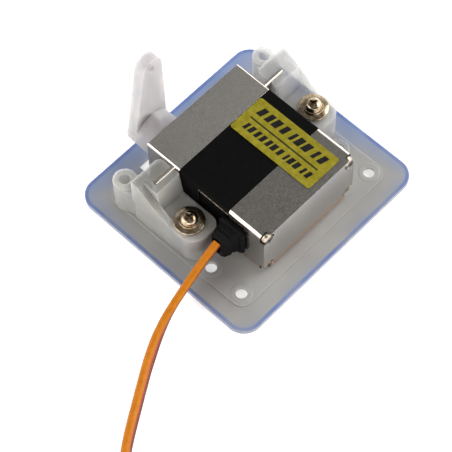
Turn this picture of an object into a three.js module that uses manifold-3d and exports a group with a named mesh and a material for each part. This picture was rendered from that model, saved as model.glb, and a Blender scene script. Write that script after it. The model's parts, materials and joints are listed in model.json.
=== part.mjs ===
// Wing servo on its translucent hatch plate: a mini metal-cased servo lies on its side
// between two screwed brackets, with its arm standing up past the plate's front edge.
// Millimetres, +Z up. The origin is the centre of the hatch plate's outer face.
// +Y is the way the output shaft points, and the servo's width runs along X.

import * as THREE from 'three';
import Module from 'manifold-3d';
import { mergeVertices } from 'three/addons/utils/BufferGeometryUtils.js';

// ---------------------------------------------------------------- driving dimensions
const PLATE = { width: 45.6, depth: 42.0, thick: 1.0, corner: 4.5, rim: 0.25 };
const PAD = { width: 38.4, depth: 34.2, rise: 0.25, corner: 2.5 };
const PLATE_TOP = PLATE.thick + PAD.rise;
const SLOT = { left: -10.95, right: 1.5, back: 12.6, front: 17.1 };
const HATCH_HOLE = { x: 16.8, rows: [-7.1, -14.5], r: 1.05, sinkR: 1.9, sinkDepth: 0.6 };

const SERVO = { halfWidth: 11.55, bottom: 2.0, top: 14.0, rear: -14.9, front: 13.2 };
const SERVO_MID = (SERVO.bottom + SERVO.top) / 2;
const SEAM = { front: 5.25, rear: -6.45, gap: 0.1 };
const WALL = 0.95;
const LUG = { reach: 16.1, back: 6.3, front: 7.15, bottom: 2.2, top: 13.8, holeX: 13.9, holeR: 1.0 };
const CASE_SCREW = {
  x: 10.35, dz: 4.75, headR: 1.0, shankR: 0.55, holeR: 0.7, notchR: 1.3, notchDepth: 1.0,
};

const SHAFT_X = -6.1;
const MODULE = 0.25;
const TEETH = { pinion: 10, first: 34, small: 10, large: 32 };
const PIN_X = SHAFT_X + (MODULE * (TEETH.large + TEETH.small)) / 2;
const MOTOR_X = PIN_X + (MODULE * (TEETH.first + TEETH.pinion)) / 2;
const LAYER = { one: [5.0, 6.1], two: [6.4, 7.5], three: [7.8, 8.9], four: [9.2, 10.9] };
const DECK = { back: 3.6, front: 4.7 };

const ARM = {
  back: 14.2, blade: 17.9, front: 20.1, hubR: 4.0, tipX: -4.7, tipZ: 24.95, tipR: 2.35, holeR: 0.6,
};

const BRACKET = { centreX: 0.5, inner: 12.4, outer: 19.4, bottom: 1.4, seat: 8.4, top: 13.7 };
const BRACKET_SCREW = { x: 16.0, y: -0.8, holeR: 1.15, shankR: 0.95, headR: 1.9 };
const BOSS = { r: 2.5, top: 6.3, pilotR: 1.05, clearance: 0.3 };
const POST = { x: 17.95, y: 13.2, r: 2.2, top: 9.0, holeR: 1.0, holeDepth: 3.4 };
const WASHER = { r: 2.85, hole: 1.1, thick: 0.5 };

const LEAD = { width: 4.5, thick: 1.5 };
const COIL = { x: -54.25, y: -54.25, r: 19, depth: 1.7, low: 0.1 };
const PLUG = { length: 14, height: 7.4, thick: 2.6, fromCentre: 14.2 };

// ---------------------------------------------------------------- materials
const material = (color, roughness, metalness = 0, opacity = 1) => new THREE.MeshStandardMaterial({
  color, roughness, metalness, opacity, transparent: opacity < 1,
});
const milky = material(0xc9cdd2, 0.45, 0, 0.8);
const plateMaterial = material(0xb9c2d2, 0.4, 0, 0.75);
const nylon = material(0xd6d4d2, 0.5, 0, 0.9);
const aluminium = material(0x9a9894, 0.35, 1);
const blackCase = material(0x111113, 0.45, 0.2);
const steel = material(0xb8b8bc, 0.25, 1);
const nickel = material(0xc9b48a, 0.22, 1);
const brass = material(0xc2a050, 0.3, 1);
const rubber = material(0x0d0d0e, 0.8);
const foil = material(0xa59620, 0.5);
const boardGreen = material(0x1f5a38, 0.6);
const orangeWire = material(0xe8901f, 0.5);
const blackPlastic = material(0x18181a, 0.55);

// ---------------------------------------------------------------- solids
const wasm = await Module();
wasm.setup();

const part = new THREE.Group();

function solid(geometry) {
  const bare = geometry.clone();
  bare.deleteAttribute('normal');
  bare.deleteAttribute('uv');
  const merged = mergeVertices(bare, 1e-5);
  return new wasm.Manifold(new wasm.Mesh({
    numProp: 3,
    vertProperties: Float32Array.from(merged.attributes.position.array),
    triVerts: Uint32Array.from(merged.index.array),
  }));
}

const joined = (...solids) => solids.reduce((sum, next) => sum.add(next));
const cut = (body, ...tools) => tools.reduce((rest, tool) => rest.subtract(tool), body);

function addPiece(name, shape, look) {
  const mesh = shape.getMesh();
  const geometry = new THREE.BufferGeometry();
  const corners = Float32Array.from(mesh.vertProperties);
  geometry.setAttribute('position', new THREE.BufferAttribute(corners, 3));
  geometry.setIndex(new THREE.BufferAttribute(Uint32Array.from(mesh.triVerts), 1));
  geometry.computeVertexNormals();
  const piece = new THREE.Mesh(geometry, look);
  piece.name = name;
  part.add(piece);
}

// A box between two opposite corners.
function box([x0, y0, z0], [x1, y1, z1]) {
  const geometry = new THREE.BoxGeometry(x1 - x0, y1 - y0, z1 - z0);
  geometry.translate((x0 + x1) / 2, (y0 + y1) / 2, (z0 + z1) / 2);
  return solid(geometry);
}

// Cylinders and cones along Z and along Y; the second radius is at the high end.
function postZ(x, y, z0, z1, r, sides = 24, rTop = r) {
  const geometry = new THREE.CylinderGeometry(rTop, r, z1 - z0, sides);
  geometry.rotateX(Math.PI / 2);
  geometry.translate(x, y, (z0 + z1) / 2);
  return solid(geometry);
}

function postY(x, z, y0, y1, r, sides = 24, rFront = r) {
  const geometry = new THREE.CylinderGeometry(rFront, r, y1 - y0, sides);
  geometry.translate(x, (y0 + y1) / 2, z);
  return solid(geometry);
}

// An outline in X and Y, raised from z0 to z1.
function slab(shape, z0, z1, curveSegments = 6) {
  const options = { depth: z1 - z0, bevelEnabled: false, curveSegments };
  const geometry = new THREE.ExtrudeGeometry(shape, options);
  geometry.translate(0, 0, z0);
  return solid(geometry);
}

// An outline in X and Z, drawn out from y0 to y1.
function drawnY(shape, y0, y1, curveSegments = 6) {
  const options = { depth: y1 - y0, bevelEnabled: false, curveSegments };
  const geometry = new THREE.ExtrudeGeometry(shape, options);
  geometry.rotateX(Math.PI / 2);
  geometry.translate(0, y1, 0);
  return solid(geometry);
}

// An outline in Y and Z, drawn out from x0 to x1.
function drawnX(points, x0, x1) {
  const shape = new THREE.Shape(points.map(([y, z]) => new THREE.Vector2(y, z)));
  const geometry = new THREE.ExtrudeGeometry(shape, { depth: x1 - x0, bevelEnabled: false });
  geometry.rotateY(Math.PI / 2);
  geometry.rotateX(Math.PI / 2);
  geometry.translate(x0, 0, 0);
  return solid(geometry);
}

function roundedRectangle(x0, y0, x1, y1, r) {
  const shape = new THREE.Shape();
  shape.moveTo(x0 + r, y0);
  shape.lineTo(x1 - r, y0);
  shape.absarc(x1 - r, y0 + r, r, -Math.PI / 2, 0);
  shape.lineTo(x1, y1 - r);
  shape.absarc(x1 - r, y1 - r, r, 0, Math.PI / 2);
  shape.lineTo(x0 + r, y1);
  shape.absarc(x0 + r, y1 - r, r, Math.PI / 2, Math.PI);
  shape.lineTo(x0, y0 + r);
  shape.absarc(x0 + r, y0 + r, r, Math.PI, 1.5 * Math.PI);
  return shape;
}

const centredRectangle = (width, depth, r) => (
  roundedRectangle(-width / 2, -depth / 2, width / 2, depth / 2, r)
);

// The servo case's outline across its shaft: its width along X, its thickness along Z.
function caseOutline(inset, r) {
  const half = SERVO.halfWidth - inset;
  return roundedRectangle(-half, SERVO.bottom + inset, half, SERVO.top - inset, r);
}

// ---------------------------------------------------------------- hatch plate
function hatchPlate() {
  const { width, depth, thick, corner, rim } = PLATE;
  const inside = centredRectangle(width - 2 * rim, depth - 2 * rim, corner - rim);
  const sheet = new THREE.ExtrudeGeometry(inside, {
    depth: thick - 2 * rim,
    bevelEnabled: true,
    bevelThickness: rim,
    bevelSize: rim,
    bevelSegments: 1,
    curveSegments: 8,
  });
  sheet.translate(0, 0, rim);
  let plate = solid(sheet);
  plate = plate.add(slab(centredRectangle(PAD.width, PAD.depth, PAD.corner), thick / 2, PLATE_TOP));
  for (const side of [-1, 1]) {
    const x = BRACKET.centreX + side * BRACKET_SCREW.x;
    plate = plate.add(postZ(x, BRACKET_SCREW.y, thick / 2, BOSS.top, BOSS.r));
    plate = plate.subtract(postZ(x, BRACKET_SCREW.y, thick, BOSS.top + 1, BOSS.pilotR, 16));
    for (const y of HATCH_HOLE.rows) {
      const { x: holeX, r, sinkR, sinkDepth } = HATCH_HOLE;
      plate = plate.add(postZ(side * holeX, y, thick / 2, PLATE_TOP + 0.2, sinkR, 20, sinkR - 0.3));
      plate = plate.subtract(postZ(side * holeX, y, -1, PLATE_TOP + 1, r, 20));
      plate = plate.subtract(postZ(side * holeX, y, -0.01, sinkDepth, sinkR, 20, r));
    }
  }
  const slot = roundedRectangle(SLOT.left, SLOT.back, SLOT.right, SLOT.front, 0.4);
  return cut(plate, slab(slot, -1, PLATE_TOP + 1, 3));
}

// ---------------------------------------------------------------- brackets
// One bracket, drawn with s the distance outwards from the pair's centre plane.
function bracket(side) {
  const at = (s) => BRACKET.centreX + side * s;
  const span = (s0, s1) => [Math.min(at(s0), at(s1)), Math.max(at(s0), at(s1))];
  const { inner, outer, bottom, seat, top } = BRACKET;

  const plan = new THREE.Shape();
  const endY = -4.95;
  const endR = 2.6;
  const frontY = 9.9;
  plan.moveTo(at(inner), -2.9);
  plan.quadraticCurveTo(at(inner), endY, at(inner + 1.8), endY);
  plan.lineTo(at(outer - 0.2 - endR), endY);
  plan.quadraticCurveTo(at(outer - 0.2), endY, at(outer - 0.2), endY + endR);
  plan.lineTo(at(outer), frontY - 0.5);
  plan.lineTo(at(outer - 0.5), frontY);
  plan.lineTo(at(POST.x + 1.9), POST.y - 1.1);
  plan.lineTo(at(POST.x - 1.5), POST.y + 1.6);
  plan.lineTo(at(inner + 2.2), frontY + 0.4);
  plan.lineTo(at(inner + 1.0), frontY);
  plan.quadraticCurveTo(at(inner), frontY, at(inner), frontY - 1.0);
  const base = slab(plan, bottom, seat, 5);

  const [x0, x1] = span(inner, outer);
  const towerSide = [[4.0, seat - 1], [4.15, seat], [5.0, top], [frontY, top], [frontY, seat - 1]];
  const tower = drawnX(towerSide, x0, x1);
  const [g0, g1] = span(outer - 1.4, outer);
  const gussetSide = [[1.1, seat - 0.5], [1.1, seat], [8.2, top], [frontY, top], [frontY, seat - 0.5]];
  const gusset = drawnX(gussetSide, g0, g1);
  const post = postZ(at(POST.x), POST.y, bottom, POST.top, POST.r);
  const corner = new THREE.Shape();
  corner.moveTo(at(inner - 1), frontY + 1);
  corner.lineTo(at(inner - 1), frontY - 1.1);
  corner.lineTo(at(inner), frontY - 1.1);
  corner.quadraticCurveTo(at(inner), frontY, at(inner + 1.1), frontY);
  corner.lineTo(at(inner + 1.1), frontY + 1);
  const upper = cut(joined(tower, gusset), slab(corner, seat, top + 1, 5));

  const [l0, l1] = span(inner - 1, LUG.reach + 0.9);
  const screwX = at(BRACKET_SCREW.x);
  return cut(
    joined(base, upper, post),
    box([l0, LUG.back - 0.3, LUG.bottom - 0.3], [l1, LUG.front + 0.3, top + 1]),
    postZ(at(POST.x), POST.y, POST.top - POST.holeDepth, POST.top + 1, POST.holeR, 16),
    postZ(screwX, BRACKET_SCREW.y, bottom - 1, BOSS.top + BOSS.clearance, BOSS.r + BOSS.clearance),
    postZ(screwX, BRACKET_SCREW.y, bottom, seat + 1, BRACKET_SCREW.holeR, 16),
  );
}

function washer(side) {
  const x = BRACKET.centreX + side * BRACKET_SCREW.x;
  const low = BRACKET.seat + 0.05;
  const ring = postZ(x, BRACKET_SCREW.y, low, low + WASHER.thick, WASHER.r, 32);
  return cut(ring, postZ(x, BRACKET_SCREW.y, low - 1, low + 1, WASHER.hole, 24));
}

// A pan-head screw pointing down, its recess a cross.
function bracketScrew(side) {
  const x = BRACKET.centreX + side * BRACKET_SCREW.x;
  const { y, headR: r, shankR } = BRACKET_SCREW;
  const seat = BRACKET.seat + WASHER.thick + 0.1;
  const shank = [[0, -6.4], [0.35, -6.4], [shankR, -5.7], [shankR, 0]];
  const panHead = [[r, 0], [r, 0.35], [r * 0.82, 0.45], [r * 0.78, 0.95], [r * 0.55, 1.3], [0, 1.4]];
  const profile = [...shank, ...panHead];
  const turned = new THREE.LatheGeometry(profile.map(([a, b]) => new THREE.Vector2(a, b)), 24);
  turned.rotateX(Math.PI / 2);
  turned.translate(x, y, seat);
  const recess = (halfX, halfY) => (
    box([x - halfX, y - halfY, seat + 0.7], [x + halfX, y + halfY, seat + 2])
  );
  return cut(solid(turned), recess(1.0, 0.2), recess(0.2, 1.0));
}

// ---------------------------------------------------------------- servo case
const screwPlaces = [-1, 1].flatMap((sideX) => (
  [-1, 1].map((sideZ) => [sideX * CASE_SCREW.x, SERVO_MID + sideZ * CASE_SCREW.dz])
));

// The hollow inside the case: wide in the middle, lower at its ends, where the corners hold the screws.
function hollow(y0, y1) {
  const half = SERVO.halfWidth - WALL;
  const high = SERVO_MID - SERVO.bottom - WALL;
  const endLow = 3.5;
  return joined(
    box([-half, y0, SERVO_MID - endLow], [half, y1, SERVO_MID + endLow]),
    box([2 - half, y0, SERVO_MID - high], [half - 2, y1, SERVO_MID + high]),
  );
}

const screwHoles = (y0, y1) => (
  screwPlaces.map(([x, z]) => postY(x, z, y0, y1, CASE_SCREW.holeR, 10))
);

function gearCase() {
  const back = SEAM.front + SEAM.gap;
  const wallInside = 12.0;
  let shell = drawnY(caseOutline(0, 0.35), back, SERVO.front, 2);
  shell = shell.add(box([-LUG.reach, LUG.back, LUG.bottom], [LUG.reach, LUG.front, LUG.top]));
  shell = shell.add(postY(SHAFT_X, SERVO_MID, SERVO.front - 0.5, SERVO.front + 0.5, 3.9, 28));
  shell = cut(shell, hollow(back - 1, wallInside), ...screwHoles(back - 1, 8.6));
  for (const x of [-LUG.holeX, LUG.holeX]) {
    shell = shell.subtract(postY(x, SERVO_MID, LUG.back - 1, LUG.front + 1, LUG.holeR, 16));
  }
  return cut(
    shell,
    postY(SHAFT_X, SERVO_MID, wallInside - 1, SERVO.front + 0.15, 3.3, 28),
    postY(SHAFT_X, SERVO_MID, wallInside, SERVO.front + 1, 2.3, 24),
    postY(PIN_X, SERVO_MID, wallInside - 1, wallInside + 0.8, 0.6, 12),
  );
}

function middleCase() {
  let shell = drawnY(caseOutline(0.05, 0.35), SEAM.rear, SEAM.front, 2);
  shell = cut(shell, hollow(DECK.front, SEAM.front + 1), hollow(SEAM.rear - 1, DECK.back));
  const shallowStep = box(
    [-SERVO.halfWidth - 1, SEAM.rear - 1, SERVO.bottom - 1],
    [0.35 - SERVO.halfWidth, 0.8, 12.6],
  );
  return cut(
    shell,
    ...screwHoles(SEAM.rear - 1, SEAM.front + 1),
    postY(SHAFT_X, SERVO_MID, DECK.back - 1, DECK.front + 1, 1.7, 20),
    postY(PIN_X, SERVO_MID, DECK.back + 0.3, DECK.front + 1, 0.6, 12),
    postY(MOTOR_X, SERVO_MID, DECK.back - 1, DECK.front + 1, 2.0, 20),
    shallowStep,
    leadNotch(),
  );
}

// The passage through the left wall that the grommet's neck fills.
const leadNotch = () => box([-SERVO.halfWidth - 1, -9.3, 5.5], [1.6 - SERVO.halfWidth, -5.4, 10.3]);

function bottomCase() {
  const front = SEAM.rear - SEAM.gap;
  const { notchR, notchDepth } = CASE_SCREW;
  const notches = screwPlaces.map(([x, z]) => (
    postY(x, z, SERVO.rear - 1, SERVO.rear + notchDepth, notchR, 16)
  ));
  return cut(
    drawnY(caseOutline(0, 0.8), SERVO.rear, front, 3),
    hollow(SERVO.rear + 1.1, front + 1),
    leadNotch(),
    ...screwHoles(SERVO.rear - 1, front + 1),
    ...notches,
  );
}

function caseScrew([x, z]) {
  const seat = SERVO.rear + CASE_SCREW.notchDepth - 0.1;
  const head = postY(x, z, seat - 0.8, seat, CASE_SCREW.headR, 16);
  const shank = postY(x, z, seat - 0.2, 8.2, CASE_SCREW.shankR, 8);
  const across = box([x - 0.6, seat - 2, z - 0.13], [x + 0.6, seat - 0.4, z + 0.13]);
  const along = box([x - 0.13, seat - 2, z - 0.6], [x + 0.13, seat - 0.4, z + 0.6]);
  return cut(joined(head, shank), across, along);
}

// ---------------------------------------------------------------- gear train
// A toothed disc about the Y axis; toothAt is the angle of one tooth's centre, from +X towards +Z.
function toothed(teeth, y0, y1, toothAt) {
  const pitchR = (MODULE * teeth) / 2;
  const tipR = pitchR + 0.8 * MODULE;
  const rootR = pitchR - 1.05 * MODULE;
  const halfRoot = (0.29 * Math.PI * MODULE) / rootR;
  const halfTip = (0.1 * Math.PI * MODULE) / tipR;
  const points = [];
  for (let i = 0; i < teeth; i += 1) {
    const centre = toothAt + (2 * Math.PI * i) / teeth;
    const tooth = [[rootR, -halfRoot], [tipR, -halfTip], [tipR, halfTip], [rootR, halfRoot]];
    for (const [r, offset] of tooth) {
      points.push(new THREE.Vector2(r * Math.cos(centre + offset), r * Math.sin(centre + offset)));
    }
  }
  return drawnY(new THREE.Shape(points), y0, y1);
}

// Every gear has a tooth facing +X where its mate, to the +X side, has a gap facing -X.
const gapFacingLeft = (teeth) => Math.PI + Math.PI / teeth;

function compoundGear(x, large, largeLayer, largeToothAt, smallToothAt) {
  const smallFront = largeLayer[1] + 1.4;
  const body = joined(
    toothed(large, largeLayer[0], largeLayer[1], largeToothAt),
    toothed(TEETH.small, largeLayer[1] - 0.1, smallFront, smallToothAt),
  );
  const bore = postY(0, 0, largeLayer[0] - 1, smallFront + 1, 0.53, 12);
  return cut(body, bore).translate([x, 0, SERVO_MID]);
}

function outputShaft() {
  const gear = toothed(TEETH.large, LAYER.four[0], LAYER.four[1], 0);
  const profile = [[0, 2.0], [0.5, 2.0], [0.5, LAYER.four[0] + 0.2], [1.9, LAYER.four[0] + 0.2],
    [1.9, 13.5], [1.75, 13.6], [1.75, 18.2], [0.75, 18.2], [0.75, 14.8], [0, 14.8]];
  const turned = solid(new THREE.LatheGeometry(profile.map(([a, b]) => new THREE.Vector2(a, b)), 24));
  return joined(turned, gear).translate([SHAFT_X, 0, SERVO_MID]);
}

function bearing(y0, y1, innerR, outerR) {
  const ring = postY(SHAFT_X, SERVO_MID, y0, y1, outerR, 28);
  return cut(ring, postY(SHAFT_X, SERVO_MID, y0 - 1, y1 + 1, innerR, 24));
}

function motorRotor() {
  const shaft = postY(0, 0, 1.5, LAYER.one[1] + 0.4, 0.45, 12);
  const [back, front] = LAYER.one;
  const pinion = toothed(TEETH.pinion, back - 0.1, front + 0.2, gapFacingLeft(TEETH.pinion));
  return joined(shaft, pinion).translate([MOTOR_X, 0, SERVO_MID]);
}

// ---------------------------------------------------------------- motor, sensor and board
function motor() {
  const can = joined(
    postY(MOTOR_X, SERVO_MID, -9.0, 3.3, 4.5, 28),
    postY(MOTOR_X, SERVO_MID, 3.2, 4.2, 1.7, 20),
    box([MOTOR_X - 2.6, -10.4, SERVO_MID - 0.6], [MOTOR_X - 2.3, -8.9, SERVO_MID + 0.6]),
    box([MOTOR_X + 2.3, -10.4, SERVO_MID - 0.6], [MOTOR_X + 2.6, -8.9, SERVO_MID + 0.6]),
  );
  return cut(can, postY(MOTOR_X, SERVO_MID, 1.0, 5.0, 0.65, 12));
}

function positionSensor() {
  const body = joined(
    postY(SHAFT_X, SERVO_MID, -1.6, 2.6, 3.6, 24),
    box([SHAFT_X - 2, -2.6, SERVO_MID + 1.8], [SHAFT_X + 2, -1.5, SERVO_MID + 2.1]),
  );
  return cut(body, postY(SHAFT_X, SERVO_MID, 1.2, 3.6, 0.7, 12));
}

function circuitBoard() {
  return joined(
    box([-10.2, -12.6, SERVO_MID - 3.2], [10.2, -11.8, SERVO_MID + 3.2]),
    box([-8.0, -12.6, SERVO_MID - 4.6], [8.0, -11.8, SERVO_MID + 4.6]),
    box([-1.6, -11.9, SERVO_MID - 2.0], [2.4, -11.0, SERVO_MID + 2.0]),
    box([-7.6, -11.9, SERVO_MID + 1.8], [-5.2, -11.2, SERVO_MID + 3.2]),
    box([4.6, -11.9, SERVO_MID - 3.0], [7.2, -11.3, SERVO_MID - 1.6]),
  );
}

// The lead's short inner end, from the grommet's neck down to the board.
const innerWires = () => joined(
  box([-9.0, -8.0, 6.2], [-7.9, -7.1, 9.6]),
  box([-9.0, -11.5, 6.2], [-7.9, -7.1, 7.4]),
);

// ---------------------------------------------------------------- arm
function servoArm() {
  const { hubR, tipX, tipZ, tipR, back, blade, front, holeR } = ARM;
  const lean = Math.atan2(tipZ - SERVO_MID, tipX - SHAFT_X);
  const length = Math.hypot(tipX - SHAFT_X, tipZ - SERVO_MID);
  const splay = Math.acos((hubR - tipR) / length);
  const outline = new THREE.Shape();
  outline.absarc(SHAFT_X, SERVO_MID, hubR, lean + splay, lean - splay + 2 * Math.PI);
  outline.absarc(tipX, tipZ, tipR, lean - splay, lean + splay);
  return cut(
    joined(drawnY(outline, blade, front, 16), postY(SHAFT_X, SERVO_MID, back, blade + 0.5, hubR, 32)),
    postY(SHAFT_X, SERVO_MID, back - 1, 18.5, 1.95, 24),
    postY(SHAFT_X, SERVO_MID, back, front + 1, 0.95, 16),
    postY(SHAFT_X, SERVO_MID, front - 0.8, front + 1, 2.1, 20),
    postY(tipX, tipZ, blade - 1, front + 1, holeR, 16),
  );
}

function armScrew() {
  const seat = ARM.front - 0.75;
  const screw = joined(
    postY(SHAFT_X, SERVO_MID, seat, seat + 0.9, 1.8, 20),
    postY(SHAFT_X, SERVO_MID, 15.2, seat + 0.1, 0.6, 10),
  );
  const recess = (halfX, halfZ) => box(
    [SHAFT_X - halfX, seat + 0.4, SERVO_MID - halfZ],
    [SHAFT_X + halfX, seat + 2, SERVO_MID + halfZ],
  );
  return cut(screw, recess(1, 0.18), recess(0.18, 1));
}

// ---------------------------------------------------------------- lead
// A closed solid through rings of points that all have the same number of points.
function lofted(rings) {
  const sides = rings[0].length;
  const last = (rings.length - 1) * sides;
  const faces = [];
  for (let i = 0; i < sides; i += 1) {
    const next = (i + 1) % sides;
    for (let base = 0; base < last; base += sides) {
      const above = base + sides;
      faces.push(base + i, base + next, above + next, base + i, above + next, above + i);
    }
    if (i > 0 && i < sides - 1) {
      faces.push(0, i + 1, i, last, last + i, last + i + 1);
    }
  }
  const geometry = new THREE.BufferGeometry();
  geometry.setAttribute('position', new THREE.Float32BufferAttribute(rings.flat(2), 3));
  geometry.setIndex(faces);
  return solid(geometry);
}

// A rectangle with cut corners, as [across, up] pairs.
function cutRectangle(halfAcross, halfUp, c) {
  const left = [
    [-halfAcross, c - halfUp],
    [-halfAcross, halfUp - c],
    [c - halfAcross, halfUp],
    [halfAcross - c, halfUp],
  ];
  return [...left, ...left.map(([across, up]) => [-across, -up])];
}

// A tapered block along X, wall end first.
function taperedBlock(x0, [y0, z0], [halfY0, halfZ0], x1, [y1, z1], [halfY1, halfZ1]) {
  const corner = 0.32;
  const ring = (x, y, z, halfY, halfZ) => (
    cutRectangle(halfY, halfZ, corner * Math.min(halfY, halfZ)).map(([dy, dz]) => [x, y + dy, z + dz])
  );
  return lofted([ring(x0, y0, z0, halfY0, halfZ0), ring(x1, y1, z1, halfY1, halfZ1)]);
}

function leadGrommet() {
  const wallX = -SERVO.halfWidth;
  return joined(
    taperedBlock(wallX + 1.3, [-7.35, 7.9], [1.7, 2.15], wallX - 0.2, [-7.35, 7.9], [1.7, 2.15]),
    taperedBlock(wallX - 0.1, [-7.85, 8.0], [2.85, 3.8], wallX - 1.0, [-7.85, 8.0], [2.75, 3.7]),
    taperedBlock(wallX - 0.9, [-7.55, 7.7], [2.25, 3.0], wallX - 3.7, [-7.25, 6.9], [1.45, 2.5]),
  );
}

// Centre line of the flat lead, which stands on its edge: out of the grommet, down past the plate, away.
const leadRoute = [
  [-16.2, -6.92, 6.84], [-17.2, -6.99, 6.54], [-18.45, -7.09, 6.15], [-19.95, -7.24, 5.68],
  [-21.45, -7.42, 5.2], [-22.95, -7.6, 4.76], [-24.5, -7.83, 4.34], [-26.05, -8.08, 3.95],
  [-27.55, -8.38, 3.6], [-29.1, -8.75, 3.28], [-30.65, -9.22, 3.0], [-32.15, -9.77, 2.77],
  [-33.7, -10.4, 2.6], [-35.2, -11.12, 2.48], [-36.65, -11.87, 2.4], [-38.15, -12.67, 2.36],
  [-39.6, -13.52, 2.35], [-42.45, -15.24, 2.35], [-45.2, -16.93, 2.35], [-47.85, -18.55, 2.35],
  [-51.4, -20.9, 2.35], [-55.3, -24.0, 2.35], [-59.0, -27.75, 2.35], [-64.3, -35.0, 2.35],
].map(([x, y, z]) => new THREE.Vector3(x, y, z));

// The lead leans as it leaves the grommet, and is upright once it is clear of the plate.
const leadLean = (x) => -THREE.MathUtils.degToRad(16) * THREE.MathUtils.smoothstep(x, -37, -25);

function leadTube() {
  const route = new THREE.CatmullRomCurve3(leadRoute, false, 'centripetal');
  const section = cutRectangle(LEAD.thick / 2, LEAD.width / 2, 0.4);
  const steps = 30;
  const rings = [];
  for (let i = 0; i <= steps; i += 1) {
    const centre = route.getPointAt(i / steps);
    const along = route.getTangentAt(i / steps);
    const across = new THREE.Vector3().crossVectors(along, new THREE.Vector3(0, 0, 1)).normalize();
    across.applyAxisAngle(along, leadLean(centre.x));
    const up = new THREE.Vector3().crossVectors(across, along);
    rings.push(section.map(([u, v]) => (
      centre.clone().addScaledVector(across, u).addScaledVector(up, v).toArray()
    )));
  }
  return lofted(rings);
}

function leadCoil() {
  const inner = COIL.r - COIL.depth;
  const outer = COIL.r + COIL.depth;
  const high = COIL.low + LEAD.width;
  const profile = [[inner, COIL.low], [outer, COIL.low], [outer, high], [inner, high], [inner, COIL.low]];
  const ring = new THREE.LatheGeometry(profile.map(([a, b]) => new THREE.Vector2(a, b)), 48);
  ring.rotateX(Math.PI / 2);
  ring.translate(COIL.x, COIL.y, 0);
  return solid(ring);
}

// The plug stands on its edge inside the coil, in line with the lead's last turn.
function leadPlug() {
  const block = new THREE.BoxGeometry(PLUG.length, PLUG.thick, PLUG.height);
  block.translate(0, -PLUG.fromCentre, COIL.low + PLUG.height / 2);
  block.rotateZ(0.35);
  block.translate(COIL.x, COIL.y, 0);
  return solid(block);
}

// ---------------------------------------------------------------- assembly
addPiece('hatch_plate', hatchPlate(), plateMaterial);
for (const [name, side] of [['left', -1], ['right', 1]]) {
  addPiece(`${name}_bracket`, bracket(side), milky);
  addPiece(`${name}_bracket_washer`, washer(side), nickel);
  addPiece(`${name}_bracket_screw`, bracketScrew(side), nickel);
}

addPiece('gear_case', gearCase(), aluminium);
addPiece('middle_case', middleCase(), blackCase);
addPiece('bottom_case', bottomCase(), aluminium);
screwPlaces.forEach((place, i) => addPiece(`case_screw_${i + 1}`, caseScrew(place), steel));
addPiece('label', box([1.0, -13.6, SERVO.top + 0.06], [9.1, SEAM.front - 0.05, SERVO.top + 0.16]), foil);

addPiece('servo_arm', servoArm(), nylon);
addPiece('arm_screw', armScrew(), steel);
addPiece('output_shaft', outputShaft(), brass);
addPiece('output_bearing', bearing(11.7, 13.25, 2.0, 3.2), steel);
addPiece('output_bush', bearing(DECK.back, DECK.front, 0.6, 1.6), brass);
addPiece('gear_pin', postY(PIN_X, SERVO_MID, DECK.back + 0.4, 12.7, 0.45, 12), steel);
const [largeGap, smallGap] = [gapFacingLeft(TEETH.large), gapFacingLeft(TEETH.small)];
addPiece('first_gear', compoundGear(PIN_X, TEETH.first, LAYER.one, 0, smallGap), brass);
addPiece('second_gear', compoundGear(SHAFT_X, TEETH.large, LAYER.two, 0, 0), brass);
addPiece('third_gear', compoundGear(PIN_X, TEETH.large, LAYER.three, largeGap, smallGap), brass);
addPiece('motor_pinion', motorRotor(), brass);
addPiece('motor', motor(), steel);
addPiece('position_sensor', positionSensor(), blackPlastic);
addPiece('circuit_board', circuitBoard(), boardGreen);
addPiece('inner_wires', innerWires(), orangeWire);

addPiece('lead_grommet', leadGrommet(), rubber);
addPiece('lead', leadTube(), orangeWire);
addPiece('lead_coil', leadCoil(), orangeWire);
addPiece('lead_plug', leadPlug(), blackPlastic);

export default part;
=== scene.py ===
"""A mini wing servo on its translucent hatch plate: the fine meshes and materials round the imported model.

Shapes are drawn in millimetres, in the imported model's own frame, and end up in metres. The origin is the
centre of the hatch plate's outer face, +Z goes up out of the plate, and the output shaft points along +Y.
"""

import json
import math

import bmesh
import bpy
from mathutils import Matrix, Quaternion, Vector


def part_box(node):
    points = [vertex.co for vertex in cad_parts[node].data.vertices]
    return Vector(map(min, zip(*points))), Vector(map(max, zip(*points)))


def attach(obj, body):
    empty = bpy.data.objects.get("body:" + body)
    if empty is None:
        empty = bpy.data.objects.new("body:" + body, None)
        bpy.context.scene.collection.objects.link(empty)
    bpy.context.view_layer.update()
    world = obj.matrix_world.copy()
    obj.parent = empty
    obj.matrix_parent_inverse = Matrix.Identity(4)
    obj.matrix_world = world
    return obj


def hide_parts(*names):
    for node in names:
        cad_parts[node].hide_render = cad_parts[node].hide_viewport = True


MM = 0.001

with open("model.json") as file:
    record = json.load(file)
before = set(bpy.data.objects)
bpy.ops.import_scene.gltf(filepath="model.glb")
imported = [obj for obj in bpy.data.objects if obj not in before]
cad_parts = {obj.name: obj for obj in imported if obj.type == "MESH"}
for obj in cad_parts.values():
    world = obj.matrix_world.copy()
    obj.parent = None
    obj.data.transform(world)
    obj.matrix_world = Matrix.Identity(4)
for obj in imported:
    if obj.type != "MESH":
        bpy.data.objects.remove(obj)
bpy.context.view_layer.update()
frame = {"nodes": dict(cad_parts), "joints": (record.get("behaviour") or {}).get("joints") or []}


# --- places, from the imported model
def span(node):
    """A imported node's lowest and highest corner, in millimetres."""
    low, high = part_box(node)
    return low / MM, high / MM


def joint_place(name):
    place = next(j["pos_m"] for j in frame["joints"] if j["name"] == name)
    return Vector(place) / MM


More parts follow.
